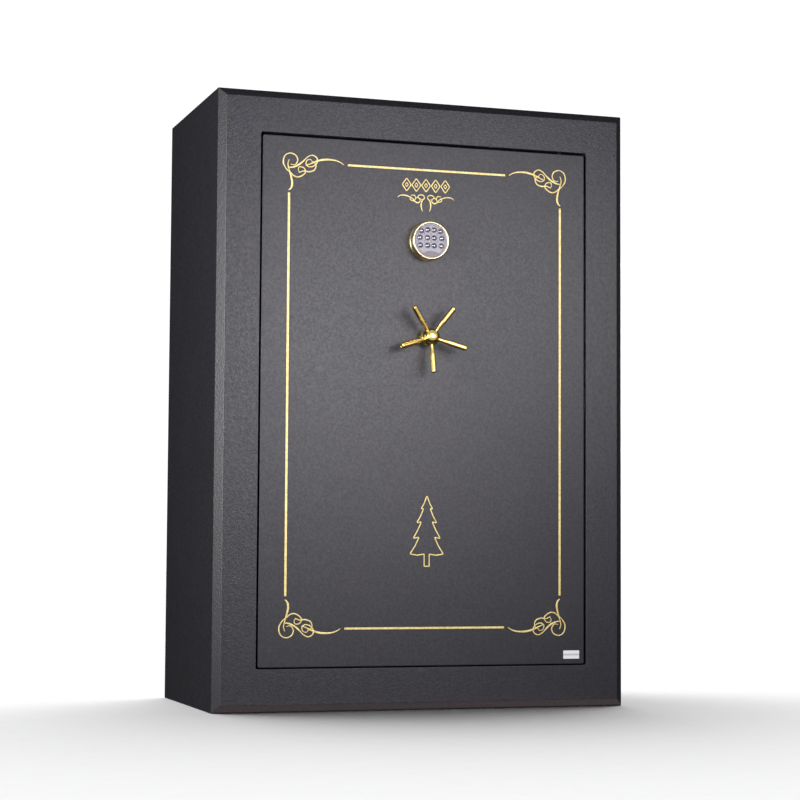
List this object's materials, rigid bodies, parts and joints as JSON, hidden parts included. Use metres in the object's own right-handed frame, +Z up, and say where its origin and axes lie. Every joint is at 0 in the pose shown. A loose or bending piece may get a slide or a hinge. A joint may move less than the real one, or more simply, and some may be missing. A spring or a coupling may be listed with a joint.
{
  "type": "gun safe",
  "caption": "Fire-lined steel gun safe with an inset door on internal hinges, round keypad, spoked handle, rack-driven bolts, gun rack and shelves.",
  "frame": {"origin": "centre of the cabinet's underside", "axes": "+Z up, -Y out of the door's front, +X to the right as seen from the front"},
  "size_m": [1.058, 0.6103, 1.5],
  "materials": {
    "charcoal_paint": "matte",
    "door_paint": "satin",
    "black_paint": "satin",
    "steel": "satin",
    "chrome": "polished",
    "gold": "polished",
    "keypad_silver": "satin",
    "fireboard": "matte",
    "carpet": "matte",
    "seal": "matte"
  },
  "bodies": {
    "cabinet": {"body_shell": "charcoal_paint", "back_panel": "charcoal_paint", "door_jamb": "charcoal_paint", "hinge_bracket_upper": "steel", "hinge_bracket_lower": "steel", "body_fireboard": "fireboard", "rear_fireboard": "fireboard", "liner_floor": "carpet", "liner_top": "carpet", "liner_left": "carpet", "liner_right": "carpet", "liner_back": "carpet", "top_shelf": "carpet", "centre_divider": "carpet", "side_shelf_lower": "carpet", "side_shelf_middle": "carpet", "side_shelf_upper": "carpet", "barrel_rack": "carpet"},
    "door": {"door_plate": "door_paint", "door_chassis": "black_paint", "door_fireboard": "fireboard", "hard_plate": "steel", "hinge_leaf_upper": "steel", "hinge_leaf_lower": "steel", "door_inner_cover": "carpet", "fire_seal": "seal", "fixed_bolt_bar": "chrome", "lock_body": "steel", "handle_collar": "gold", "keypad_base": "gold", "keypad_face": "keypad_silver", "keypad_plate": "chrome"},
    "handle": {"handle_hub": "gold", "handle_spindle": "steel", "handle_spoke_1": "gold", "handle_spoke_2": "gold", "handle_spoke_3": "gold", "handle_spoke_4": "gold", "handle_spoke_5": "gold"},
    "left_bolts": {"left_bolt_bar": "steel", "left_bolt_1": "chrome", "left_bolt_2": "chrome", "left_bolt_3": "chrome", "left_bolt_4": "chrome"},
    "top_bolts": {"top_bolt_bar": "chrome"},
    "bottom_bolts": {"bottom_bolt_bar": "chrome"},
    "lock_bolt": {"lock_bolt": "gold"},
    "button_1": {"keypad_button_1": "keypad_silver"},
    "button_2": {"keypad_button_2": "keypad_silver"},
    "button_3": {"keypad_button_3": "keypad_silver"},
    "button_4": {"keypad_button_4": "keypad_silver"},
    "button_5": {"keypad_button_5": "keypad_silver"},
    "button_6": {"keypad_button_6": "keypad_silver"},
    "button_7": {"keypad_button_7": "keypad_silver"},
    "button_8": {"keypad_button_8": "keypad_silver"},
    "button_9": {"keypad_button_9": "keypad_silver"},
    "button_10": {"keypad_button_10": "keypad_silver"},
    "button_11": {"keypad_button_11": "keypad_silver"},
    "button_12": {"keypad_button_12": "keypad_silver"}
  },
  "joints": [
    {"name": "door_hinge", "type": "hinge", "parent": "cabinet", "child": "door", "pos_m": [0.36, -0.253, 0], "axis": [0, 0, 1], "range_deg": [0, 105]},
    {"name": "handle_turn", "type": "hinge", "parent": "door", "child": "handle", "pos_m": [0, -0.308, 0.909], "axis": [0, 1, 0], "range_deg": [0, 90]},
    {"name": "left_bolts_slide", "type": "slide", "parent": "door", "child": "left_bolts", "axis": [-1, 0, 0], "range_m": [0, 0.02514]},
    {"name": "top_bolts_slide", "type": "slide", "parent": "door", "child": "top_bolts", "axis": [0, 0, 1], "range_m": [0, 0.02514]},
    {"name": "bottom_bolts_slide", "type": "slide", "parent": "door", "child": "bottom_bolts", "axis": [0, 0, -1], "range_m": [0, 0.02514]},
    {"name": "lock_bolt_slide", "type": "slide", "parent": "door", "child": "lock_bolt", "axis": [-1, 0, 0], "range_m": [0, 0.01]},
    {"name": "button_1_press", "type": "slide", "parent": "door", "child": "button_1", "axis": [0, 1, 0], "range_m": [0, 0.0015], "stiffness_N_per_m": 400},
    {"name": "button_2_press", "type": "slide", "parent": "door", "child": "button_2", "axis": [0, 1, 0], "range_m": [0, 0.0015], "stiffness_N_per_m": 400},
    {"name": "button_3_press", "type": "slide", "parent": "door", "child": "button_3", "axis": [0, 1, 0], "range_m": [0, 0.0015], "stiffness_N_per_m": 400},
    {"name": "button_4_press", "type": "slide", "parent": "door", "child": "button_4", "axis": [0, 1, 0], "range_m": [0, 0.0015], "stiffness_N_per_m": 400},
    {"name": "button_5_press", "type": "slide", "parent": "door", "child": "button_5", "axis": [0, 1, 0], "range_m": [0, 0.0015], "stiffness_N_per_m": 400},
    {"name": "button_6_press", "type": "slide", "parent": "door", "child": "button_6", "axis": [0, 1, 0], "range_m": [0, 0.0015], "stiffness_N_per_m": 400},
    {"name": "button_7_press", "type": "slide", "parent": "door", "child": "button_7", "axis": [0, 1, 0], "range_m": [0, 0.0015], "stiffness_N_per_m": 400},
    {"name": "button_8_press", "type": "slide", "parent": "door", "child": "button_8", "axis": [0, 1, 0], "range_m": [0, 0.0015], "stiffness_N_per_m": 400},
    {"name": "button_9_press", "type": "slide", "parent": "door", "child": "button_9", "axis": [0, 1, 0], "range_m": [0, 0.0015], "stiffness_N_per_m": 400},
    {"name": "button_10_press", "type": "slide", "parent": "door", "child": "button_10", "axis": [0, 1, 0], "range_m": [0, 0.0015], "stiffness_N_per_m": 400},
    {"name": "button_11_press", "type": "slide", "parent": "door", "child": "button_11", "axis": [0, 1, 0], "range_m": [0, 0.0015], "stiffness_N_per_m": 400},
    {"name": "button_12_press", "type": "slide", "parent": "door", "child": "button_12", "axis": [0, 1, 0], "range_m": [0, 0.0015], "stiffness_N_per_m": 400}
  ],
  "couplings": [
    {"joint": "left_bolts_slide", "follows": "handle_turn", "m_per_rad": 0.016},
    {"joint": "top_bolts_slide", "follows": "handle_turn", "m_per_rad": 0.016},
    {"joint": "bottom_bolts_slide", "follows": "handle_turn", "m_per_rad": 0.016}
  ]
}
